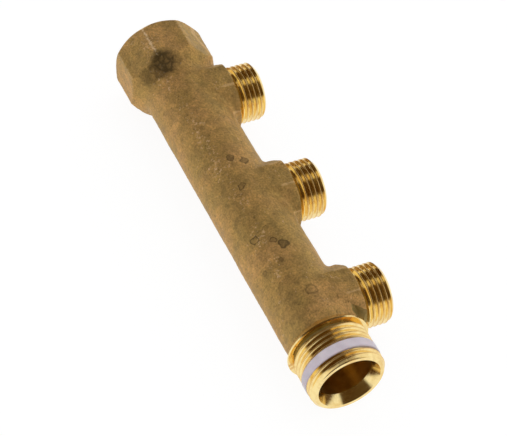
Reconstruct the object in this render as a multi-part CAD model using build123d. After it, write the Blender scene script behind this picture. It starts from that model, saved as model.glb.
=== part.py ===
# Brass pipe manifold: a cast and machined body with an octagonal female inlet, a straight run,
# three threaded outlets on octagonal bosses, and a male end with a plastic sealing ring in its thread.
# Units are millimetres. The run lies along X towards the male end, and the outlets point along +Y.
# While a piece is being shaped, x = 0 is the inlet face and the run's axis is the X axis.
# The finished pieces are then moved so that the origin is the bottom centre of the whole manifold.

import os
from math import cos, hypot, radians, tan

from build123d import *

# Layout of the run
outlet_count = 3
outlet_pitch = 50.0
run_diameter = 25.2
run_bore = 18.5
casting_fillet = 1.5

# Inlet end: an octagon to hold with a wrench, with a G 3/4 female thread inside
inlet_across_flats = 31.5
inlet_flat_length = 15.0
inlet_shoulder_length = 5.7
inlet_face_chamfer = 1.3
inlet_thread_minor = 24.117
inlet_thread_major = 26.441
inlet_thread_depth = 15.0
inlet_drill_angle = 30.0

# Outlets: octagonal bosses with G 1/2 male threads
boss_inside_run = 0.35
boss_above_run = 2.9
boss_face_inset = 0.45
boss_face_angle = 30.0
boss_across_flats = run_diameter - 2 * boss_inside_run
boss_reach = run_diameter / 2 + boss_above_run
boss_face_diameter = boss_across_flats - 2 * boss_face_inset
outlet_length = 10.5
outlet_reach = boss_reach + outlet_length
outlet_thread = 20.955
outlet_relief_diameter = 18.6
outlet_relief_width = 1.2
outlet_lead_chamfer = 1.1
outlet_bore = 15.0
outlet_mouth_chamfer = 0.6

# Male end: a turned collar, a relief groove and a G 3/4 thread with a seat for the sealing ring
male_thread = 26.441
male_thread_length = 15.5
male_relief_diameter = 24.0
male_relief_width = 1.1
male_lead_chamfer = 1.1
male_mouth_diameter = 21.8
male_mouth_depth = 3.5
collar_diameter = 28.6
collar_width = 0.6
collar_flare_length = 2.2
collar_turned_length = 6.7

# Sealing ring and its groove, measured back from the male end's face
seal_to_face = 4.2
seal_groove_width = 3.6
seal_groove_diameter = 23.6
seal_clearance = 0.05
seal_proud = 0.12
seal_edge_chamfer = 0.25

# The first boss runs a little into the inlet's shoulder, and the last one into the collar's flare
boss_into_shoulder = 2.95
boss_into_flare = 0.55
inlet_length = inlet_flat_length + inlet_shoulder_length + boss_across_flats / 2 - boss_into_shoulder
collar_length = collar_flare_length + collar_width
male_end_length = boss_across_flats / 2 - boss_into_flare + collar_length + male_thread_length

# Stations along the run, from the inlet face at x = 0
male_face = inlet_length + (outlet_count - 1) * outlet_pitch + male_end_length
collar_front = male_face - male_thread_length
collar_back = collar_front - collar_width
flare_start = collar_back - collar_flare_length
groove_front = male_face - seal_to_face
groove_back = groove_front - seal_groove_width

# Half of the angle between an octagon's corners, and how much further out they stand than its flats
half_corner_angle = 180 / 8
octagon_corner = 1 / cos(radians(half_corner_angle))

# The sketches of cuts run this far past the surfaces that they open
overrun = 2.0

# Points closer than this to a surface are taken to lie on it
on_surface = 0.005


def turned(outline):
    """Solid turned about the X axis from an outline of (x, radius) points."""
    return revolve(make_face(Polyline(*outline, close=True)), axis=Axis.X)


def octagon_bar(across_flats, start, end):
    """Octagonal bar along X, with flats facing up, down and to both sides."""
    section = RegularPolygon(across_flats / 2, 8, major_radius=False, rotation=half_corner_angle)
    return extrude(Plane.YZ.offset(start) * section, end - start)


def inlet_octagon():
    """Wrench octagon: chamfered at its face, with a conical shoulder down to the run."""
    corner_radius = inlet_across_flats / 2 * octagon_corner
    face_radius = corner_radius - inlet_face_chamfer
    shoulder_end = inlet_flat_length + inlet_shoulder_length
    envelope = turned([
        (0, 0),
        (0, face_radius),
        (inlet_face_chamfer, corner_radius),
        (inlet_flat_length, corner_radius),
        (shoulder_end, run_diameter / 2),
        (shoulder_end, 0),
    ])
    return octagon_bar(inlet_across_flats, 0, shoulder_end) & envelope


def run_tube():
    """Round run from inside the octagon to the collar of the male end."""
    radius = run_diameter / 2
    return turned([
        (inlet_flat_length, 0),
        (inlet_flat_length, radius),
        (collar_back, radius),
        (collar_back, 0),
    ])


def outlet_place(index):
    """Place of an outlet's own X axis, which starts on the run's axis and points along +Y."""
    return Pos(inlet_length + index * outlet_pitch, 0, 0) * Rot(0, 0, 90)


def outlet_boss():
    """Octagonal boss whose corners are cut back by the turned face."""
    face_radius = boss_face_diameter / 2
    corner_radius = boss_across_flats / 2 * octagon_corner
    chamfer_depth = (corner_radius - face_radius) * tan(radians(boss_face_angle))
    envelope = turned([
        (0, 0),
        (0, corner_radius),
        (boss_reach - chamfer_depth, corner_radius),
        (boss_reach, face_radius),
        (boss_reach, 0),
    ])
    return octagon_bar(boss_across_flats, 0, boss_reach) & envelope


def outlet_spigot():
    """Turned spigot at the thread's full diameter, with a relief behind and a chamfer in front."""
    thread_radius = outlet_thread / 2
    relief_radius = outlet_relief_diameter / 2
    relief_end = boss_reach + outlet_relief_width
    return turned([
        (boss_reach - overrun, 0),
        (boss_reach - overrun, relief_radius),
        (relief_end, relief_radius),
        (relief_end, thread_radius),
        (outlet_reach - outlet_lead_chamfer, thread_radius),
        (outlet_reach, thread_radius - outlet_lead_chamfer),
        (outlet_reach, 0),
    ])


def outlet_passage():
    """Bore of an outlet, from the run's axis out through its chamfered mouth."""
    bore_radius = outlet_bore / 2
    mouth_start = outlet_reach - outlet_mouth_chamfer
    return turned([
        (0, 0),
        (0, bore_radius),
        (mouth_start, bore_radius),
        (outlet_reach + overrun, bore_radius + outlet_mouth_chamfer + overrun),
        (outlet_reach + overrun, 0),
    ])


def male_end():
    """Flared collar, relief groove and threaded spigot, with the groove for the sealing ring."""
    thread_radius = male_thread / 2
    relief_radius = male_relief_diameter / 2
    groove_radius = seal_groove_diameter / 2
    collar_radius = collar_diameter / 2
    relief_end = collar_front + male_relief_width
    return turned([
        (flare_start - overrun, 0),
        (flare_start - overrun, run_diameter / 2),
        (flare_start, run_diameter / 2),
        (collar_back, collar_radius),
        (collar_front, collar_radius),
        (collar_front, relief_radius),
        (relief_end, relief_radius),
        (relief_end, thread_radius),
        (groove_back, thread_radius),
        (groove_back, groove_radius),
        (groove_front, groove_radius),
        (groove_front, thread_radius),
        (male_face - male_lead_chamfer, thread_radius),
        (male_face, thread_radius - male_lead_chamfer),
        (male_face, 0),
    ])


def collar_turning():
    """Ring of metal that the lathe removes around the collar, with a 45 degree run-out.

    It clips the side of the last boss, so that a nut can be screwed home on the male end.
    """
    collar_radius = collar_diameter / 2
    turning_start = collar_front - collar_turned_length
    depth = boss_across_flats
    return turned([
        (turning_start, collar_radius),
        (turning_start + depth, collar_radius + depth),
        (male_face + depth, collar_radius + depth),
        (male_face + depth, collar_radius),
    ])


def run_passage():
    """Passage along the run: female thread bore, drilled cone, run bore and male mouth."""
    major_radius = inlet_thread_major / 2
    minor_radius = inlet_thread_minor / 2
    bore_radius = run_bore / 2
    entry_depth = major_radius - minor_radius
    cone_length = (minor_radius - bore_radius) / tan(radians(90 - inlet_drill_angle))
    mouth_radius = male_mouth_diameter / 2
    mouth_slope = (mouth_radius - bore_radius) / male_mouth_depth
    return turned([
        (-overrun, 0),
        (-overrun, major_radius + overrun),
        (entry_depth, minor_radius),
        (inlet_thread_depth, minor_radius),
        (inlet_thread_depth + cone_length, bore_radius),
        (male_face - male_mouth_depth, bore_radius),
        (male_face + overrun, mouth_radius + overrun * mouth_slope),
        (male_face + overrun, 0),
    ])


def lies_on_run(edge):
    """Whether an edge lies on the run's round surface."""
    points = [edge @ 0, edge @ 0.5, edge @ 1]
    return all(abs(hypot(point.Y, point.Z) - run_diameter / 2) < on_surface for point in points)


def casting_roots(casting):
    """Inner corners of the casting: where the shoulder and the bosses meet the run."""
    on_run = casting.edges().filter_by(lies_on_run)
    shoulder_end = inlet_flat_length + inlet_shoulder_length
    roots = on_run.filter_by_position(Axis.X, shoulder_end - on_surface, shoulder_end + on_surface)
    for index in range(outlet_count):
        centre = inlet_length + index * outlet_pitch
        half_width = boss_across_flats / 2 + on_surface
        roots += on_run.filter_by_position(Axis.X, centre - half_width, centre + half_width)
    return roots


def manifold_body():
    """The whole brass casting, blended at its inner corners and then machined."""
    casting = run_tube() + inlet_octagon()
    for index in range(outlet_count):
        casting += outlet_place(index) * outlet_boss()
    casting = fillet(casting_roots(casting), casting_fillet)
    casting += male_end()
    casting -= collar_turning()
    for index in range(outlet_count):
        casting += outlet_place(index) * outlet_spigot()
    casting -= run_passage()
    for index in range(outlet_count):
        casting -= outlet_place(index) * outlet_passage()
    return casting


def seal_ring():
    """Plastic ring that sits in the groove and stands slightly proud of the thread."""
    inner_radius = seal_groove_diameter / 2 + seal_clearance
    outer_radius = male_thread / 2 + seal_proud
    back = groove_back + seal_clearance
    front = groove_front - seal_clearance
    return turned([
        (back, inner_radius),
        (back, outer_radius - seal_edge_chamfer),
        (back + seal_edge_chamfer, outer_radius),
        (front - seal_edge_chamfer, outer_radius),
        (front, outer_radius - seal_edge_chamfer),
        (front, inner_radius),
    ])


# The origin is the bottom centre of the box around the whole manifold
inlet_half_width = inlet_across_flats / 2
to_bottom_centre = Pos(-male_face / 2, (inlet_half_width - outlet_reach) / 2, inlet_half_width)

os.makedirs("parts", exist_ok=True)
pieces = {"manifold_body": manifold_body(), "seal_ring": seal_ring()}
for name, piece in pieces.items():
    export_step(to_bottom_centre * piece, f"parts/{name}.step")
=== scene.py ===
# %% [markdown]
# # A brass pipe manifold
# The real object is one brass casting. Its round run and its octagons keep the rough skin of the
# sand mould, and only the ends, the threads and the bores were cut bright afterwards on a machine.
# We work in the same order: a rough blank first, then the cuts, then the threads, then the finishes.
# The CAD model comes in first, because every piece has to stay where the CAD has it.

# %% Load the CAD frame
import math

import bpy
from mathutils import Matrix, Vector


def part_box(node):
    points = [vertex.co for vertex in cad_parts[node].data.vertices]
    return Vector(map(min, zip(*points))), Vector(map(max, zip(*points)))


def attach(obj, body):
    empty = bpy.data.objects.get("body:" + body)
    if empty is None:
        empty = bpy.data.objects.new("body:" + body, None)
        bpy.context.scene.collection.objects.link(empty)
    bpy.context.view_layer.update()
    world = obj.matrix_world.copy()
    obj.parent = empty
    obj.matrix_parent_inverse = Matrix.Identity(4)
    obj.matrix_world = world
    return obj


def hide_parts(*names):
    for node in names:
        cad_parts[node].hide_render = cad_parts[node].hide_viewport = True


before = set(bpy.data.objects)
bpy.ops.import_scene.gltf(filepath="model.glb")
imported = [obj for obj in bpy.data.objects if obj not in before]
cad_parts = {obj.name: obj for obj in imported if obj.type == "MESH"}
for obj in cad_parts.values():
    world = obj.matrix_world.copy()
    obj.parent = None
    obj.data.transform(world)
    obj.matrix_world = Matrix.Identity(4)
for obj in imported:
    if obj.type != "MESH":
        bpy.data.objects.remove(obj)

MM = 0.001
# Half of the angle between two corners of an octagon
half_side = math.pi / 8
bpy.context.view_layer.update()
body_low, body_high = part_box("manifold_body")
run_height = (body_low.z + body_high.z) / 2 / MM
run_side = body_low.y / MM + run_height
print("run axis at y", round(run_side, 3), "z", round(run_height, 3), "mm")

# %% [markdown]
# ## Small tools for the whole lesson
# An operator acts on everything that is selected, so each helper first selects one object alone.
# A lathe turns a profile about an axis. We do the same: one point is extruded along half of the
# outline, and the line is spun once round the X axis.

# %% Helpers for modelling
def only(piece):
    """Selects one object alone and makes it the active one."""
    bpy.ops.object.select_all(action="DESELECT")
    piece.select_set(True)
    bpy.context.view_layer.objects.active = piece


def apply_modifier(piece, kind, **settings):
    """Adds a modifier to a piece, sets it up and applies it."""
    only(piece)
    modifier = piece.modifiers.new(kind.lower(), kind)
    for setting, value in settings.items():
        setattr(modifier, setting, value)
    bpy.ops.object.modifier_apply(modifier=modifier.name)


def combine(piece, other, operation):
    """Joins, cuts or trims a piece with another one, which is used up. Cut faces take its finish."""
    apply_modifier(piece, "BOOLEAN", object=other, operation=operation, solver="MANIFOLD",
                   material_mode="TRANSFER")
    bpy.data.objects.remove(other)


def name_new(name):
    """Names the object that was just added, and its mesh."""
    piece = bpy.context.object
    piece.name = piece.data.name = name
    bpy.ops.object.transform_apply(location=True, rotation=True, scale=True)
    return piece


def turned(name, outline, steps=128):
    """Solid turned about the X axis from an outline of (x, radius) points in mm."""
    bpy.ops.object.select_all(action="DESELECT")
    x, radius = outline[0]
    bpy.ops.mesh.primitive_plane_add(size=MM, location=(x * MM, 0, radius * MM))
    piece = name_new(name)
    bpy.ops.object.mode_set(mode="EDIT")
    bpy.ops.mesh.merge(type="CENTER")
    for (x, radius), (next_x, next_radius) in zip(outline, outline[1:]):
        step = ((next_x - x) * MM, 0, (next_radius - radius) * MM)
        bpy.ops.mesh.extrude_region_move(TRANSFORM_OT_translate={"value": step})
    bpy.ops.mesh.select_all(action="SELECT")
    bpy.ops.mesh.spin(steps=steps, angle=2 * math.pi, center=(0, 0, 0), axis=(1, 0, 0))
    bpy.ops.mesh.select_all(action="SELECT")
    bpy.ops.mesh.remove_doubles(threshold=1e-6)
    bpy.ops.mesh.normals_make_consistent(inside=False)
    bpy.ops.object.mode_set(mode="OBJECT")
    return piece


def octagon_bar(name, across_flats, start, end):
    """Octagonal bar along the X axis, with flats facing up, down and to both sides."""
    bpy.ops.object.select_all(action="DESELECT")
    corner_radius = across_flats / 2 / math.cos(half_side)
    bpy.ops.mesh.primitive_cylinder_add(vertices=8, radius=corner_radius * MM,
                                        depth=(end - start) * MM, rotation=(0, 0, half_side))
    bar = name_new(name)
    bar.rotation_euler = (0, math.pi / 2, 0)
    bar.location = ((start + end) / 2 * MM, 0, 0)
    return name_new(name)


def move_to_run(piece):
    """Moves a piece that was modelled about the X axis onto the axis of the run."""
    only(piece)
    piece.location = (0, run_side * MM, run_height * MM)
    bpy.ops.object.transform_apply(location=True, rotation=True, scale=True)
    return piece


def move_to_outlet(piece, station):
    """Turns a piece from the X axis to +Y, and moves it onto the outlet's axis at that station."""
    only(piece)
    piece.rotation_euler = (0, 0, math.pi / 2)
    piece.location = (station * MM, run_side * MM, run_height * MM)
    bpy.ops.object.transform_apply(location=True, rotation=True, scale=True)
    return piece


def triangles(piece):
    """Number of triangles in a piece."""
    return sum(len(face.vertices) - 2 for face in piece.data.polygons)


def open_edges(piece):
    """Number of edges that don't join exactly two faces. A closed piece has none."""
    uses = [0] * len(piece.data.edges)
    for loop in piece.data.loops:
        uses[loop.edge_index] += 1
    return sum(count != 2 for count in uses)

# %% [markdown]
# ## Finishes, first as empty slots
# A boolean cut can carry the cutter's material onto the cut faces. So the finishes get their names
# now, each cutter wears the one that it leaves behind, and the nodes are filled in later.

# %% Name the finishes
new_finish = bpy.data.materials.new
# Matt brass that copied the sand of its mould
cast_skin = new_finish("sand_cast_brass_skin")
# Bright brass with the rings of a lathe tool, round the run or round an outlet
turned_along_run = new_finish("turned_brass_along_run")
turned_along_outlet = new_finish("turned_brass_along_outlet")
# The same brass on the crests of the threads, rubbed by handling
crest_along_run = new_finish("rubbed_crest_brass_along_run")
crest_along_outlet = new_finish("rubbed_crest_brass_along_outlet")
# Bores as the drill left them
drilled_bore = new_finish("drilled_brass_bore")
# Casting that was only skimmed, and the relief grooves, which are duller and darker, partly as painted shade
skimmed_and_groove_shade = new_finish("skimmed_brass_and_groove_shade")
# Soft white plastic of the sealing ring
seal_plastic = new_finish("white_seal_plastic")


def wear(piece, material):
    """Gives a piece one finish all over."""
    piece.data.materials.clear()
    piece.data.materials.append(material)
    return piece

# %% [markdown]
# ## The threads
# A pipe thread is a groove with 55 degree flanks, rounded at its crest and root, that climbs one
# pitch in each turn. One pitch of that profile, a short line of eleven points, is carried round by the
# Screw modifier. Its ragged ends are bisected flat and filled, so the bar is closed and can be cut.

# %% One function for every thread
# The standard proportions of a G thread. Its flanks lean 27.5 degrees, so the rounding of each crest
# and root sweeps 62.5 degrees to either side.
pitch = 1.814
thread_depth = 0.6403 * pitch
rounding = 0.13733 * pitch
sweep = 62.5


def thread_profile(major_diameter):
    """One pitch of the thread as (x, radius) points in mm, from root to crest to root."""
    major = major_diameter / 2
    minor = major - thread_depth
    arcs = ((0, minor, 1, (0, sweep / 2, sweep)),
            (pitch / 2, major, -1, (-sweep, -sweep / 2, 0, sweep / 2, sweep)),
            (pitch, minor, 1, (-sweep, -sweep / 2, 0)))
    points = []
    for middle, level, bend, directions in arcs:
        for degrees in directions:
            angle = math.radians(degrees)
            points.append((middle + rounding * math.sin(angle),
                           level + bend * rounding * (1 - math.cos(angle))))
    return points


def threaded_bar(name, major_diameter, start, end, crest, steps=96):
    """Closed threaded bar along X from start to end, with a crest at that x on its +Y side."""
    turns = math.ceil((end - start) / pitch) + 4
    first = crest - pitch / 2
    first -= math.ceil((first - start) / pitch + 2) * pitch
    profile = [(first + x, radius) for x, radius in thread_profile(major_diameter)]
    bpy.ops.object.select_all(action="DESELECT")
    bpy.ops.mesh.primitive_plane_add(size=MM, location=(profile[0][0] * MM, profile[0][1] * MM, 0))
    bar = name_new(name)
    bpy.ops.object.mode_set(mode="EDIT")
    bpy.ops.mesh.merge(type="CENTER")
    for (x, radius), (next_x, next_radius) in zip(profile, profile[1:]):
        step = ((next_x - x) * MM, (next_radius - radius) * MM, 0)
        bpy.ops.mesh.extrude_region_move(TRANSFORM_OT_translate={"value": step})
    bpy.ops.object.mode_set(mode="OBJECT")
    apply_modifier(bar, "SCREW", axis="X", screw_offset=pitch * MM, iterations=turns, steps=steps,
                   render_steps=steps, use_merge_vertices=False)
    bpy.ops.object.mode_set(mode="EDIT")
    bpy.ops.mesh.select_all(action="SELECT")
    bpy.ops.mesh.remove_doubles(threshold=2e-6)
    for place, outwards in ((start, -1), (end, 1)):
        bpy.ops.mesh.select_all(action="SELECT")
        bpy.ops.mesh.bisect(plane_co=(place * MM, 0, 0), plane_no=(outwards, 0, 0),
                            use_fill=True, clear_outer=True, threshold=1e-7)
    bpy.ops.mesh.select_all(action="SELECT")
    bpy.ops.mesh.normals_make_consistent(inside=False)
    bpy.ops.object.mode_set(mode="OBJECT")
    return bar

# %% [markdown]
# ## The passages
# A drill, a boring bar and a tap made the inside. The same shapes are made here as solids, and are
# later taken out of the casting: the tap for the G 3/4 thread of the inlet, and the bores.

# %% Sizes of the passages and threads
# Stations along the run, in mm from the middle outlet
inlet_face = -80.0
inlet_thread_end = -65.0
male_face = 80.0
outlet_stations = (-50.0, 0.0, 50.0)
# Radii in mm, and the G 3/4 and G 1/2 threads by their major diameters
run_bore = 9.25
mouth_radius = 10.9
mouth_depth = 3.5
tapping_bore = 12.03
outlet_bore = 7.5
mouth_chamfer = 0.6
large_thread = 26.441
small_thread = 20.955
# Distance from the run's axis to the end of an outlet
outlet_reach = 26.0


# %% The tools that cut the inside
def run_passage():
    """The whole inside of the run, from the tapped inlet to the coned mouth of the male end."""
    tap = wear(threaded_bar("tap", large_thread, inlet_face - 2, inlet_thread_end, -78), turned_along_run)
    bores = wear(turned("bores", [
        (inlet_face - 3, 0), (inlet_face - 3, 16.22), (inlet_face + 1.19, tapping_bore),
        (inlet_thread_end + 0.4, tapping_bore), (inlet_thread_end + 2, run_bore),
        (male_face - mouth_depth, run_bore), (male_face + 2, mouth_radius + 0.943),
        (male_face + 2, 0)]), turned_along_run)
    combine(bores, tap, "UNION")
    return bores


def outlet_passage(start):
    """The bore of one outlet, from a start on its axis out through its chamfered mouth."""
    return wear(turned("outlet_bore", [
        (start, 0), (start, outlet_bore), (outlet_reach - mouth_chamfer, outlet_bore),
        (outlet_reach + 1, outlet_bore + mouth_chamfer + 1), (outlet_reach + 1, 0)]), turned_along_outlet)

# %% [markdown]
# ## The blank from the sand mould
# A casting has no sharp corners: its bosses grow out of the run with soft roots, and its skin is
# lumpy. The octagons and the round run are made as plain solids that overlap, and a voxel remesh
# grows them together into one skin, which is then smoothed at the roots and roughened.

# %% The blank
run_radius = 12.6
inlet_flats = 31.5
shoulder_end = -59.3
boss_flats = 24.5
boss_reach = 15.5
# An octagon's corners stand further out than the middles of its flats
boss_corner = boss_flats / 2 / math.cos(half_side)
octagon_corner = inlet_flats / 2 / math.cos(half_side)
# Size of the remesh's cells, and how often the roots are smoothed
voxel = 0.46
root_passes = 25


def inlet_blank():
    """Wrench octagon of the inlet with its conical shoulder."""
    start = inlet_face - 0.5
    end = shoulder_end + 0.1
    bar = octagon_bar("inlet_octagon", inlet_flats, start, shoulder_end)
    envelope = turned("inlet_envelope", [
        (start, 0), (start, octagon_corner - 0.6), (start + 0.8, octagon_corner + 0.2),
        (inlet_thread_end - 0.4, octagon_corner + 0.2), (end, run_radius - 0.05), (end, 0)])
    combine(bar, envelope, "INTERSECT")
    return move_to_run(bar)


def boss_blank(station):
    """Octagonal boss of one outlet, a little longer than its machined face."""
    bar = octagon_bar("boss", boss_flats, 0, boss_reach + 0.2)
    envelope = turned("boss_envelope", [
        (-1, 0), (-1, boss_corner + 0.5), (boss_reach - 0.5, boss_corner + 0.2),
        (boss_reach + 0.3, 12.1), (boss_reach + 0.3, 0)])
    combine(bar, envelope, "INTERSECT")
    return move_to_outlet(bar, station)


def run_blank():
    """Round run from inside the octagon to the collar."""
    return move_to_run(turned("casting", [
        (-70, 0), (-70, run_radius), (62.3, run_radius), (62.3, 0)]))


casting = run_blank()
for solid in [inlet_blank()] + [boss_blank(station) for station in outlet_stations]:
    bpy.ops.object.select_all(action="DESELECT")
    solid.select_set(True)
    casting.select_set(True)
    bpy.context.view_layer.objects.active = casting
    bpy.ops.object.join()
apply_modifier(casting, "REMESH", mode="VOXEL", voxel_size=voxel * MM, use_smooth_shade=True)
print("casting", triangles(casting), "triangles", open_edges(casting), "open edges")


# %% Soften the roots and roughen the skin
def near_root(point):
    """Whether a point of the skin lies where a boss or the shoulder meets the run, within 1.5 mm."""
    x = point.x / MM
    y = point.y / MM - run_side
    z = point.z / MM - run_height
    above_run = math.hypot(y, z) - run_radius
    if abs(x - shoulder_end) < 1.2:
        return above_run < 1.0
    if y < 0 or above_run > 1.3:
        return False
    across = min(abs(x - station) for station in outlet_stations)
    octagon = max(across, abs(z), (across + abs(z)) * math.sqrt(0.5))
    return abs(octagon - boss_flats / 2) < 1.5


only(casting)
bpy.ops.object.mode_set(mode="EDIT")
bpy.ops.mesh.select_mode(type="VERT")
bpy.ops.mesh.select_all(action="SELECT")
bpy.ops.mesh.vertices_smooth(factor=0.5, repeat=1)
bpy.ops.mesh.select_all(action="DESELECT")
bpy.ops.object.mode_set(mode="OBJECT")
for vertex in casting.data.vertices:
    vertex.select = near_root(vertex.co)
bpy.ops.object.mode_set(mode="EDIT")
bpy.ops.mesh.vertices_smooth(factor=0.5, repeat=root_passes)
bpy.ops.object.mode_set(mode="OBJECT")

# Size and height of the lumps in mm, and how fine their detail goes
for name, size, depth, height in (("swell", 9.0, 1, 0.22), ("grain", 1.3, 3, 0.22)):
    noise = bpy.data.textures.new(name, "CLOUDS")
    noise.noise_scale = size * MM
    noise.noise_depth = depth
    apply_modifier(casting, "DISPLACE", texture=noise, texture_coords="LOCAL",
                   strength=height * MM, mid_level=0.5)
wear(casting, cast_skin)

# %% [markdown]
# ## Machining the blank
# The lathe faces the inlet and chamfers its corners, faces each boss and turns a cone on its
# corners, and clears the side of the last boss so that a nut can pass. Each of these tools is a turned
# solid. They are taken out of the casting one after the other, together with the passages.

# %% The cuts
cutter = wear(turned("inlet_facing", [
    (inlet_face - 4, 0), (inlet_face - 4, 20), (inlet_face + 4.8, 20),
    (inlet_face, 15.65), (inlet_face, 0)]), turned_along_run)
# The clearance starts at this station and radius, and runs out at 45 degrees
clear_start, clear_radius, clear_depth = 57.7, 14.2, 24.6
clear_end = 104.5
collar_turning = wear(turned("collar_turning", [
    (clear_start, clear_radius), (clear_start + clear_depth, clear_radius + clear_depth),
    (clear_end, clear_radius + clear_depth), (clear_end, clear_radius - 1.1),
    (clear_start + 1.7, clear_radius - 1.1), (clear_start, clear_radius)]), skimmed_and_groove_shade)
tools = [move_to_run(tool) for tool in (cutter, run_passage(), collar_turning)]
for index, station in enumerate(outlet_stations):
    facing = wear(turned("boss_facing", [
        (boss_reach, 0), (boss_reach, 11.8), (boss_reach - 0.9, 13.36), (boss_reach - 0.9, 14.0),
        (boss_reach + 3, 14.0), (boss_reach + 3, 0)]), turned_along_outlet)
    if index == 0:
        # The first boss stands against the inlet's shoulder, where this tool has to stop
        only(facing)
        bpy.ops.object.mode_set(mode="EDIT")
        bpy.ops.mesh.select_all(action="SELECT")
        bpy.ops.mesh.bisect(plane_co=(0, 11.0 * MM, 0), plane_no=(0, 1, 0), use_fill=True, clear_outer=True)
        bpy.ops.object.mode_set(mode="OBJECT")
    tools.append(move_to_outlet(facing, station))
    tools.append(move_to_outlet(outlet_passage(0.0), station))
for tool in tools:
    combine(casting, tool, "DIFFERENCE")
print("machined casting", triangles(casting), "triangles", open_edges(casting), "open edges")

# %% [markdown]
# ## The threaded ends
# Each end is a turned blank that is trimmed by a threaded bar, as a die would cut it. Where the blank
# is thinner than the thread's root, at the relief groove and at the front chamfer, the thread runs out.

# %% Outlets
large_crest = large_thread / 2
small_crest = small_thread / 2
lead_chamfer = 1.1
outlet_relief = 9.25

outlets = []
for number, station in enumerate(outlet_stations, 1):
    spigot = wear(turned(f"outlet_{number}", [
        (boss_reach - 0.15, 0), (boss_reach - 0.15, outlet_relief), (boss_reach + 1.0, outlet_relief),
        (boss_reach + 1.5, small_crest), (outlet_reach - lead_chamfer, small_crest),
        (outlet_reach, small_crest - lead_chamfer), (outlet_reach, 0)]), turned_along_outlet)
    die = wear(threaded_bar("die", small_thread, boss_reach - 2, outlet_reach + 1, 17.6), turned_along_outlet)
    combine(spigot, die, "INTERSECT")
    combine(spigot, outlet_passage(boss_reach - 2), "DIFFERENCE")
    outlets.append(move_to_outlet(spigot, station))
    print(spigot.name, triangles(spigot), "triangles", open_edges(spigot), "open edges")

# %% Male end
collar_start, collar_wide, collar_front = 61.7, 63.9, 64.5
collar_radius = 14.3
relief_radius = 12.0
seal_groove_back, seal_groove_front, seal_groove_radius = 72.2, 75.8, 11.8
male_end = wear(turned("male_end", [
    (64.2, 0), (64.2, relief_radius), (65.2, relief_radius), (65.8, large_crest),
    (seal_groove_back, large_crest), (seal_groove_back, seal_groove_radius),
    (seal_groove_front, seal_groove_radius), (seal_groove_front, large_crest),
    (male_face - lead_chamfer, large_crest), (male_face, large_crest - lead_chamfer),
    (male_face, 0)]), turned_along_run)
die = wear(threaded_bar("die", large_thread, 63.5, male_face + 1, 67.5, steps=128), turned_along_run)
combine(male_end, die, "INTERSECT")
collar = wear(turned("collar", [
    (collar_start, 0), (collar_start, run_radius - 0.05), (collar_wide, collar_radius),
    (collar_front - 0.05, collar_radius), (collar_front, collar_radius - 0.05),
    (collar_front, 0)]), turned_along_run)
combine(male_end, collar, "UNION")
combine(male_end, run_passage(), "DIFFERENCE")
move_to_run(male_end)
print("male end", triangles(male_end), "triangles", open_edges(male_end), "open edges")

# %% Sealing ring
ring_back, ring_front = 72.25, 75.75
ring_inside, ring_outside = 11.85, 13.34
ring_edge = 0.25
seal = wear(turned("sealing_ring", [
    (ring_back, ring_inside), (ring_back, ring_outside - ring_edge), (ring_back + ring_edge, ring_outside),
    (ring_front - ring_edge, ring_outside), (ring_front, ring_outside - ring_edge),
    (ring_front, ring_inside), (ring_back, ring_inside)]), seal_plastic)
move_to_run(seal)

# %% [markdown]
# ## Finishes by place
# The crests of a thread are the outside of the turned bar, so they are not as smooth as the flanks
# that the die cut, and handling rubs them. The relief grooves are dull and partly darkened as painted shade,
# and the drilled bores are dull.
# The faces of each kind are found by their distance from the axis of the run or of their outlet.

# %% Crests, grooves and bores
def from_run(centre):
    """Distance of a point from the run's axis in mm."""
    return math.hypot(centre.y / MM - run_side, centre.z / MM - run_height)


def from_outlet(centre):
    """Distance of a point from the nearest outlet's axis in mm."""
    height = centre.z / MM - run_height
    return min(math.hypot(centre.x / MM - station, height) for station in outlet_stations)


def give_finish(piece, material, belongs, kind):
    """Gives another finish to the faces whose centres belong to one kind of place."""
    piece.data.materials.append(material)
    slot = len(piece.data.materials) - 1
    faces = [face for face in piece.data.polygons if belongs(face.center)]
    for face in faces:
        face.material_index = slot
    print(piece.name, len(faces), kind, "faces")


def in_bore(centre):
    """Whether a point lies on the run's bore or on the bore of an outlet."""
    if from_run(centre) < run_bore + 0.1 and abs(centre.x / MM) < male_face - mouth_depth:
        return True
    return centre.y / MM > run_side and from_outlet(centre) < outlet_bore + 0.06


def in_run_relief(centre):
    """Whether a point lies on the relief groove behind the male thread."""
    return collar_front - 0.05 < centre.x / MM < 65.3 and abs(from_run(centre) - 12.15) < 0.25


def in_outlet_relief(centre):
    """Whether a point lies on the relief groove behind an outlet's thread."""
    return centre.y / MM - run_side < boss_reach + 1.1 and from_outlet(centre) > outlet_relief - 0.15


def on_run_crest(centre):
    """Whether a point lies on a crest of the male thread, within 0.12 mm."""
    return abs(from_run(centre) - large_crest) < 0.12


def on_outlet_crest(centre):
    """Whether a point lies on a crest of an outlet's thread, within 0.12 mm."""
    return abs(from_outlet(centre) - small_crest) < 0.12


give_finish(male_end, crest_along_run, on_run_crest, "crest")
give_finish(male_end, skimmed_and_groove_shade, in_run_relief, "groove")
for piece in outlets:
    give_finish(piece, crest_along_outlet, on_outlet_crest, "crest")
    give_finish(piece, skimmed_and_groove_shade, in_outlet_relief, "groove")
for piece in [casting, male_end] + outlets:
    give_finish(piece, drilled_bore, in_bore, "bore")

# %% [markdown]
# ## How a finish is written
# Colours are copied from a colour picker as sRGB codes, and Blender's sockets want linear light, so
# one function turns them. Another adds a node with its settings and links. Patterns read the piece's
# Object coordinates, which are metres here, so per_mm(s) is the scale that repeats every s millimetres.

# %% Colour and node helpers
def linear(code):
    """Linear colour from an sRGB hex code such as 8C6E41."""
    channels = [int(code[i:i + 2], 16) / 255 for i in (0, 2, 4)]
    return [c / 12.92 if c <= 0.04045 else ((c + 0.055) / 1.055) ** 2.4 for c in channels] + [1.0]


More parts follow.
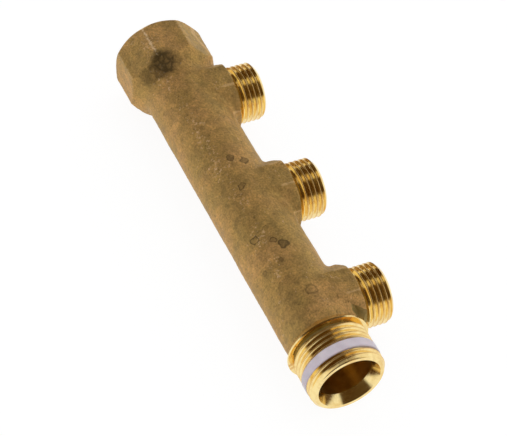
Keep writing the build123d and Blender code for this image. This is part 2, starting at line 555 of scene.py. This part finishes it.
def per_mm(size):
    """Texture scale for a pattern that repeats about every so many millimetres."""
    return 1000 / size


def add(tree, kind, inputs=None, **settings):
    """Adds a node. Inputs map a socket's name or number to a value or to another node's output."""
    node = tree.nodes.new("ShaderNode" + kind)
    for setting, value in settings.items():
        setattr(node, setting, value)
    for socket, value in (inputs or {}).items():
        if isinstance(value, bpy.types.NodeSocket):
            tree.links.new(value, node.inputs[socket])
        else:
            node.inputs[socket].default_value = value
    return node


def stops(ramp, *pairs):
    """Sets a colour ramp's stops from (position, colour) pairs, where a colour is a hex code or a grey."""
    elements = ramp.color_ramp.elements
    while len(elements) > 1:
        elements.remove(elements[-1])
    for index, (position, colour) in enumerate(pairs):
        element = elements[0] if index == 0 else elements.new(position)
        element.position = position
        element.color = linear(colour) if isinstance(colour, str) else (colour, colour, colour, 1)
    return ramp.outputs["Color"]


def open_tree(material):
    """Switches a material to nodes and returns its tree and its shader."""
    material.use_nodes = True
    return material.node_tree, material.node_tree.nodes["Principled BSDF"]

# %% [markdown]
# ## Sand-cast brass skin
# Molten brass poured against sand comes out matt: the skin copies the grains, about half a
# millimetre each, and a thin brown oxide dulls the metal. Slow noise lets the oxide drift between
# olive and tan, middle noise mottles it, and fine noise gives the grain, in colour and in the bump.
# Small raised grains are rubbed pale where they stand in clusters, and extra pale grains in a band along the
# top of the run are a painted glint where the highlight falls.

# %% Cast skin: oxide and grain
tree, shader = open_tree(cast_skin)
place = add(tree, "TexCoord").outputs["Object"]
layers = {}
for name, size, detail in (("drift", 17, 3), ("mottle", 3.4, 5), ("grain", 0.65, 3),
                           ("cluster", 7, 3), ("speck", 1.05, 3)):
    noise = add(tree, "TexNoise", {"Vector": place, "Scale": per_mm(size), "Detail": detail,
                                   "Roughness": 0.62})
    layers[name] = noise.outputs["Fac"]

oxide = stops(add(tree, "ValToRGB", {"Fac": layers["drift"]}),
              (0.38, "BA9856"), (0.5, "C39C5A"), (0.62, "CDA262"))
usual = {"From Min": 0.3, "From Max": 0.7}
mottled = add(tree, "MapRange", {"Value": layers["mottle"], **usual, "To Min": 0.74, "To Max": 1.24})
grained = add(tree, "MapRange", {"Value": layers["grain"], **usual, "To Min": 0.7, "To Max": 1.26})
shade = add(tree, "Math", {0: mottled.outputs[0], 1: grained.outputs[0]}, operation="MULTIPLY")
skin = add(tree, "Mix", {"Factor": 1.0, "A": oxide, "B": shade.outputs[0]},
           data_type="RGBA", blend_type="MULTIPLY")

# %% Cast skin: where a mark is
# The station along the run, and the angle about its axis, from the outlets' side over the top
parts = add(tree, "SeparateXYZ", {"Vector": place})
across = add(tree, "Math", {0: parts.outputs["Y"], 1: run_side * MM}, operation="SUBTRACT")
height = add(tree, "Math", {0: parts.outputs["Z"], 1: run_height * MM}, operation="SUBTRACT")
angle = add(tree, "Math", {0: height.outputs[0], 1: across.outputs[0]}, operation="ARCTAN2")
angle = angle.outputs[0]


def near_angle(degrees, inside, outside):
    """Mask that is 1 within so many degrees of an angle about the run, and 0 beyond some more."""
    off = add(tree, "Math", {0: angle, 1: math.radians(degrees)}, operation="SUBTRACT")
    off = add(tree, "Math", {0: off.outputs[0]}, operation="ABSOLUTE")
    mask = add(tree, "MapRange", {"Value": off.outputs[0], "From Min": math.radians(inside),
                                  "From Max": math.radians(outside), "To Min": 1.0, "To Max": 0.0})
    return mask.outputs[0]


def along_run(start, end):
    """Mask that rises from 0 to 1 between two stations in mm."""
    mask = add(tree, "MapRange", {"Value": parts.outputs["X"], "From Min": start * MM, "From Max": end * MM})
    return mask.outputs[0]


# %% Cast skin: rubbed grains and a painted glint band
# Painted glint: the band along the top of the run, where the highlight falls, raises the count of pale grains
glint_band = add(tree, "Math", {0: near_angle(118, 4, 20), 1: along_run(46, 36)}, operation="MULTIPLY")
raised = add(tree, "Math", {0: glint_band.outputs[0], 1: 0.09, 2: layers["speck"]}, operation="MULTIPLY_ADD")
raised = add(tree, "Math", {0: layers["cluster"], 1: 0.4, 2: raised.outputs[0]}, operation="MULTIPLY_ADD")
raised = add(tree, "MapRange", {"Value": raised.outputs[0], "From Min": 0.87, "From Max": 0.94})
rubbed_and_glint = add(tree, "Math", {0: raised.outputs[0], 1: 0.7}, operation="MULTIPLY")
# The pale colour is partly rubbed grains and partly painted glint
skin = add(tree, "Mix", {"Factor": rubbed_and_glint.outputs[0], "A": skin.outputs["Result"], "B": linear("F8D4A2")},
           data_type="RGBA")
pits = add(tree, "MapRange", {"Value": layers["speck"], "From Min": 0.37, "From Max": 0.3, "To Max": 0.55})
skin = add(tree, "Mix", {"Factor": pits.outputs[0], "A": skin.outputs["Result"], "B": linear("5E4A22")},
           data_type="RGBA")

# %% Cast skin: chipped corners of the inlet octagon, and a painted highlight along them
def from_corner(turn, corner_radius):
    """Distance in mm from the nearest corner of an octagon, for an angle about its axis."""
    off = add(tree, "Math", {0: turn, 1: half_side}, operation="SUBTRACT")
    off = add(tree, "Math", {0: off.outputs[0], 1: half_side}, operation="PINGPONG")
    return add(tree, "Math", {0: off.outputs[0], 1: corner_radius}, operation="MULTIPLY").outputs[0]


chips_and_edge_highlight = add(tree, "Math", {0: from_corner(angle, octagon_corner), 1: 2.2}, operation="MULTIPLY")
chips_and_edge_highlight = add(tree, "Math", {0: layers["speck"], 1: 6.0, 2: chips_and_edge_highlight.outputs[0]}, operation="MULTIPLY_ADD")
chips_and_edge_highlight = add(tree, "MapRange", {"Value": chips_and_edge_highlight.outputs[0], "From Min": 3.9, "From Max": 3.3})
chips_and_edge_highlight = add(tree, "Math", {0: chips_and_edge_highlight.outputs[0], 1: along_run(-64.2, -65.0)}, operation="MULTIPLY")
# Chips are strongest on the corner at 112.5 degrees; the fainter pale line on the other corners is a painted
# edge highlight
strength = add(tree, "MapRange", {"Value": near_angle(112.5, 8, 20), "To Min": 0.2, "To Max": 0.95})
chips_and_edge_highlight = add(tree, "Math", {0: chips_and_edge_highlight.outputs[0], 1: strength.outputs[0]}, operation="MULTIPLY")
skin = add(tree, "Mix", {"Factor": chips_and_edge_highlight.outputs[0], "A": skin.outputs["Result"], "B": linear("FBDCAC")},
           data_type="RGBA")

# %% Cast skin: painted highlight on the corners of the bosses
# The bosses stand every 50 mm, so wrapping the station gives the place from the nearest outlet's axis
from_axis = add(tree, "Math", {0: parts.outputs["X"], 1: 25 * MM, 2: -25 * MM}, operation="WRAP")
turn = add(tree, "Math", {0: height.outputs[0], 1: from_axis.outputs[0]}, operation="ARCTAN2")
corner = from_corner(turn.outputs[0], boss_corner * 1.6)
# Painted highlight: a pale line along the corners of the bosses
boss_corner_highlight = add(tree, "Math", {0: layers["speck"], 1: 3.0, 2: corner}, operation="MULTIPLY_ADD")
boss_corner_highlight = add(tree, "MapRange", {"Value": boss_corner_highlight.outputs[0], "From Min": 2.4, "From Max": 1.7, "To Max": 0.55})
on_boss = add(tree, "MapRange", {"Value": across.outputs[0], "From Min": 9.5 * MM, "From Max": 10.5 * MM})
boss_corner_highlight = add(tree, "Math", {0: boss_corner_highlight.outputs[0], 1: on_boss.outputs[0]}, operation="MULTIPLY")
skin = add(tree, "Mix", {"Factor": boss_corner_highlight.outputs[0], "A": skin.outputs["Result"], "B": linear("F0CB92")},
           data_type="RGBA")

# %% [markdown]
# ## Dried drips and patina
# Cutting fluid dried on the skin in drips, which left dark rings, and some are dark all through. Each
# is given a place: its distance from a centre, measured in a slightly wavy space, runs through a colour
# ramp that is darkest near the rim. A darker patina collected in the hollow behind the inlet's shoulder.

# %% Drips
wobble = add(tree, "TexNoise", {"Vector": place, "Scale": per_mm(2.0), "Detail": 1.0})
shift = add(tree, "VectorMath", {0: wobble.outputs["Color"], 1: (0.5, 0.5, 0.5)}, operation="SUBTRACT")
shift = add(tree, "VectorMath", {0: shift.outputs[0], "Scale": 2.2 * MM}, operation="SCALE")
wavy = add(tree, "VectorMath", {0: place, 1: shift.outputs[0]}, operation="ADD")


def share_of_radius(station, degrees, distance, radius):
    """Distance from a centre near the skin, as a share of a radius in mm."""
    side = run_side + distance * math.cos(math.radians(degrees))
    level = run_height + distance * math.sin(math.radians(degrees))
    centre = (station * MM, side * MM, level * MM)
    away = add(tree, "VectorMath", {0: wavy.outputs[0], 1: centre}, operation="DISTANCE")
    return add(tree, "Math", {0: away.outputs["Value"], 1: radius * MM}, operation="DIVIDE").outputs[0]


# Station along the run in mm, angle about it in degrees, radius in mm, darkness of middle and of rim
drips = ((-12.4, 96, 1.6, 0.6, 0.9), (-9.6, 77, 1.7, 0.55, 0.85), (0.7, 102, 1.5, 0.35, 0.85),
         (3.9, 112, 0.8, 0.2, 0.6), (22.4, 128, 1.7, 0.12, 0.95), (26.0, 102, 1.3, 0.3, 0.95),
         (28.9, 92, 2.1, 0.65, 0.95), (34.1, 108, 0.9, 0.5, 0.6), (35.4, 139, 1.2, 0.15, 0.6),
         (20.3, 103, 1.1, 0.15, 0.5), (14.5, 111, 0.6, 0.5, 0.5), (49.6, 91, 2.2, 0.08, 0.55),
         (-31.0, 200, 2.0, 0.3, 0.6), (12.0, 262, 1.8, 0.4, 0.7), (44.0, 318, 1.6, 0.3, 0.6))
stain = None
for station, degrees, radius, middle, rim in drips:
    share = share_of_radius(station, degrees, run_radius, radius)
    ring = stops(add(tree, "ValToRGB", {"Fac": share}),
                 (0.0, middle), (0.6, middle), (0.76, rim), (0.9, rim * 0.8), (1.0, 0.0))
    darkest = 0.0 if stain is None else stain.outputs[0]
    stain = add(tree, "Math", {0: ring, 1: darkest}, operation="MAXIMUM")
dark = add(tree, "Math", {0: stain.outputs[0], 1: 0.8}, operation="MULTIPLY")
skin = add(tree, "Mix", {"Factor": dark.outputs[0], "A": skin.outputs["Result"], "B": linear("43361A")},
           data_type="RGBA")

# %% Patina behind the shoulder
# Station in mm, angle about the run in degrees, radius in mm and depth of colour of each spot
spots = ((-62.3, 109, 5.8, 1.0), (-61.2, 124, 4.4, 0.75), (-61.2, 140, 4.2, 0.6), (-61.4, 95, 3.4, 0.5))
hollow_radius = 14.3
patch = None
for station, degrees, radius, depth in spots:
    share = share_of_radius(station, degrees, hollow_radius, radius)
    spot = add(tree, "MapRange", {"Value": share, "From Min": 1.0, "From Max": 0.6, "To Max": depth})
    darkest = 0.0 if patch is None else patch.outputs[0]
    patch = add(tree, "Math", {0: spot.outputs[0], 1: darkest}, operation="MAXIMUM")
cells = add(tree, "TexVoronoi", {"Vector": wavy.outputs[0], "Scale": per_mm(2.0)}, feature="DISTANCE_TO_EDGE")
veins = add(tree, "MapRange", {"Value": cells.outputs["Distance"], "From Min": 0.0, "From Max": 0.3,
                               "To Min": 0.92, "To Max": 0.68})
patch = add(tree, "Math", {0: patch.outputs[0], 1: veins.outputs[0]}, operation="MULTIPLY")
skin = add(tree, "Mix", {"Factor": patch.outputs[0], "A": skin.outputs["Result"], "B": linear("4A3B1A")},
           data_type="RGBA")
tree.links.new(skin.outputs["Result"], shader.inputs["Base Color"])

# %% Relief and gloss of the skin
level = add(tree, "Math", {0: layers["grain"], 1: 0.7, 2: layers["mottle"]}, operation="MULTIPLY_ADD")
level = add(tree, "Math", {0: raised.outputs[0], 1: 0.5, 2: level.outputs[0]}, operation="MULTIPLY_ADD")
bump = add(tree, "Bump", {"Strength": 1.0, "Distance": 0.2 * MM, "Height": level.outputs[0]})
tree.links.new(bump.outputs[0], shader.inputs["Normal"])
gloss = add(tree, "MapRange", {"Value": layers["mottle"], **usual, "To Min": 0.55, "To Max": 0.68})
tree.links.new(gloss.outputs[0], shader.inputs["Roughness"])
shader.inputs["Metallic"].default_value = 0.65

# %% [markdown]
# ## Turned and drilled brass
# A lathe tool leaves bright metal with rings as fine as its feed, here about 0.15 mm, all round the
# axis of the cut. A noise that is squeezed along that axis and stretched across it gives such rings,
# in the bump and in the gloss. The run and the outlets have different axes, so each has its own. The
# crests, the drilled bores, the relief grooves and the skimmed side of the last boss use the same
# nodes, in darker and duller metal.

# %% Machined brass
def machined_brass(material, squeeze, dark, pale, gloss_range, metal):
    """Cut brass whose tool marks run round the axis along which the pattern is squeezed."""
    tree, shader = open_tree(material)
    place = add(tree, "TexCoord").outputs["Object"]
    stretched = add(tree, "Mapping", {"Vector": place, "Scale": squeeze})
    marks = add(tree, "TexNoise", {"Vector": stretched.outputs[0], "Scale": 1.0, "Detail": 3.0,
                                   "Roughness": 0.6})
    tarnish = add(tree, "TexNoise", {"Vector": place, "Scale": per_mm(4), "Detail": 4.0, "Roughness": 0.6})
    colour = stops(add(tree, "ValToRGB", {"Fac": tarnish.outputs["Fac"]}), (0.36, dark), (0.6, pale))
    tree.links.new(colour, shader.inputs["Base Color"])
    gloss = add(tree, "MapRange", {"Value": marks.outputs["Fac"], "From Min": 0.3, "From Max": 0.7,
                                   "To Min": gloss_range[0], "To Max": gloss_range[1]})
    tree.links.new(gloss.outputs[0], shader.inputs["Roughness"])
    bump = add(tree, "Bump", {"Strength": 0.6, "Distance": 0.012 * MM, "Height": marks.outputs["Fac"]})
    tree.links.new(bump.outputs[0], shader.inputs["Normal"])
    shader.inputs["Metallic"].default_value = metal


round_the_run = (per_mm(0.3), per_mm(12), per_mm(12))
round_an_outlet = (per_mm(12), per_mm(0.3), per_mm(12))
machined_brass(turned_along_run, round_the_run, "ECCA82", "FAE2A0", (0.1, 0.24), 1.0)
machined_brass(turned_along_outlet, round_an_outlet, "ECCA82", "FAE2A0", (0.1, 0.24), 1.0)
machined_brass(crest_along_run, round_the_run, "DDB26A", "EEC984", (0.3, 0.42), 1.0)
machined_brass(crest_along_outlet, round_an_outlet, "DDB26A", "EEC984", (0.3, 0.42), 1.0)
machined_brass(drilled_bore, round_the_run, "D2AC60", "E4C276", (0.28, 0.42), 1.0)
# Darker, duller brass of the skimmed side of the last boss and of the relief grooves, where the darker colour
# is partly painted shade in the recess
machined_brass(skimmed_and_groove_shade, round_the_run, "A08B50", "B8A063", (0.5, 0.6), 0.6)

# %% [markdown]
# ## White seal plastic
# The ring is a soft white plastic with a slightly waxy, lilac shade. It has no grain, so only a faint
# drift in its colour and gloss keeps it from looking like a flat patch.

# %% Seal plastic
tree, shader = open_tree(seal_plastic)
place = add(tree, "TexCoord").outputs["Object"]
drift = add(tree, "TexNoise", {"Vector": place, "Scale": per_mm(4), "Detail": 3.0})
colour = stops(add(tree, "ValToRGB", {"Fac": drift.outputs["Fac"]}), (0.35, "CCC0C9"), (0.65, "DACFD7"))
tree.links.new(colour, shader.inputs["Base Color"])
gloss = add(tree, "MapRange", {"Value": drift.outputs["Fac"], "To Min": 0.3, "To Max": 0.5})
tree.links.new(gloss.outputs[0], shader.inputs["Roughness"])
shader.inputs["IOR"].default_value = 1.46
shader.inputs["Subsurface Weight"].default_value = 0.1
shader.inputs["Subsurface Scale"].default_value = 0.5 * MM

# %% [markdown]
# ## Smooth and sharp
# Round faces are shaded smooth and corners stay sharp, told apart by the angle between two faces. The
# mouth's cone meets the bore at only 25 degrees, so that edge is found by its place and kept sharp.

# %% Shade the pieces
for piece in [casting, male_end, seal] + outlets:
    only(piece)
    bpy.ops.object.shade_smooth_by_angle(angle=math.radians(35))


def on_mouth_edge(point):
    """Whether a point lies where the mouth's cone meets the run's bore."""
    radius = math.hypot(point.y / MM - run_side, point.z / MM - run_height)
    return abs(radius - run_bore) < 0.02 and abs(point.x / MM - (male_face - mouth_depth)) < 0.02


sharp = 0
for edge in male_end.data.edges:
    if all(on_mouth_edge(male_end.data.vertices[end].co) for end in edge.vertices):
        edge.use_edge_sharp = True
        sharp += 1
print("sharp edges at the mouth", sharp)

# %% [markdown]
# ## Fitting the pieces to the frame
# Each piece rides on the one body of the model, and hides the plain CAD
# solid that it stands for.

# %% Ride and replace
for piece in [casting, male_end, seal] + outlets:
    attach(piece, "root")
for piece in [casting, male_end] + outlets:
    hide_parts("manifold_body")
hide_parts("seal_ring")

# %% [markdown]
# ## Camera
# The view was found by fitting a pinhole camera to the rims and thread ends in the picture: the
# camera stands 0.7 m away, 48 degrees up, with its lens at 136 mm and a slight roll.

# %% Camera
camera = bpy.data.objects.new("camera", bpy.data.cameras.new("camera"))
bpy.context.scene.collection.objects.link(camera)
bpy.context.scene.camera = camera
# The camera's own X, Y and Z axes in the part's frame
right = Vector((0.41154194, 0.90914449, 0.06394943))
up = -Vector((0.70167477, -0.27128447, -0.65883022))
back = -Vector((-0.58162337, 0.31600797, -0.74956868))
turn = Matrix((right, up, back)).transposed().to_4x4()
camera.matrix_world = Matrix.Translation((0.383606, -0.210271, 0.502911)) @ turn
camera.data.lens = 136.27
camera.data.sensor_width = 36
camera.data.clip_start = 0.01

# %% [markdown]
# ## White paper and studio light
# Polished metal shows its surroundings, so these matter as much as its finish. White paper lies under
# the part and glows white only to the camera and to reflections. What reflections see of the world is
# a light tent: white low down, brown overhead, and with a white card on the outlets' side. Matt
# surfaces get an even light instead, and one faint, very soft lamp gives the skin some direction.

# %% Floor
bpy.ops.object.select_all(action="DESELECT")
bpy.ops.mesh.primitive_plane_add(size=6)
floor = name_new("floor")
paper = bpy.data.materials.new("white_paper_floor")
paper.cycles.emission_sampling = "NONE"
wear(floor, paper)
tree, shader = open_tree(paper)
shader.inputs["Base Color"].default_value = (0.8, 0.8, 0.8, 1)
shader.inputs["Roughness"].default_value = 0.9
path = add(tree, "LightPath")
# The glow covers most of the paper, and the rest keeps the part's shadow
glow_share = 0.85
glow_strength = 1.075
seen = path.outputs["Is Camera Ray"]
for ray in ("Is Glossy Ray", "Is Transmission Ray"):
    seen = add(tree, "Math", {0: seen, 1: path.outputs[ray]}, operation="MAXIMUM").outputs[0]
share = add(tree, "Math", {0: seen, 1: glow_share}, operation="MULTIPLY")
glow = add(tree, "Emission", {"Color": (1, 1, 1, 1), "Strength": glow_strength})
mix = add(tree, "MixShader", {0: share.outputs[0], 1: shader.outputs[0], 2: glow.outputs[0]})
tree.links.new(mix.outputs[0], tree.nodes["Material Output"].inputs["Surface"])

# %% World
world = bpy.data.worlds.new("light_tent")
bpy.context.scene.world = world
world.use_nodes = True
world.cycles.sampling_method = "NONE"
tree = world.node_tree
direction = add(tree, "TexCoord").outputs["Generated"]
cap = Vector((0.08, -0.08, 0.99)).normalized()
lift = add(tree, "VectorMath", {0: direction, 1: cap}, operation="DOT_PRODUCT")
tent = stops(add(tree, "ValToRGB", {"Fac": lift.outputs["Value"]}), (0.18, 1.0), (0.34, "523F26"))
card = Vector((0.1, 0.9, 0.42)).normalized()
facing_card = add(tree, "VectorMath", {0: direction, 1: card}, operation="DOT_PRODUCT")
on_card = add(tree, "MapRange", {"Value": facing_card.outputs["Value"], "From Min": 0.8, "From Max": 0.88})
shown = add(tree, "Mix", {"Factor": on_card.outputs[0], "A": tent, "B": (1, 1, 1, 1)}, data_type="RGBA")
plain = stops(add(tree, "ValToRGB", {"Fac": lift.outputs["Value"]}), (0.0, 1.0), (0.8, 0.7))
path = add(tree, "LightPath")
light = add(tree, "Mix", {"Factor": path.outputs["Is Diffuse Ray"], "A": shown.outputs["Result"], "B": plain},
            data_type="RGBA")
tree.links.new(light.outputs["Result"], tree.nodes["Background"].inputs["Color"])
tree.nodes["Background"].inputs["Strength"].default_value = 1.0

# %% Lamp
# Size and distance in metres, and the direction in degrees
lamp_size = 0.5
lamp_brightness = 0.8
lamp_distance = 1.2
lamp_azimuth = 112
lamp_elevation = 70
data = bpy.data.lights.new("key_lamp", "AREA")
data.size = lamp_size
data.energy = lamp_brightness * math.pi * lamp_size ** 2
lamp = bpy.data.objects.new("key_lamp", data)
bpy.context.scene.collection.objects.link(lamp)
swing = Matrix.Rotation(math.radians(lamp_azimuth), 3, "Z")
raising = Matrix.Rotation(math.radians(-lamp_elevation), 3, "Y")
towards = swing @ raising @ Vector((1, 0, 0))
lamp.location = towards * lamp_distance
lamp.rotation_euler = towards.to_track_quat("Z", "Y").to_euler()

bpy.context.scene.view_settings.view_transform = "Standard"
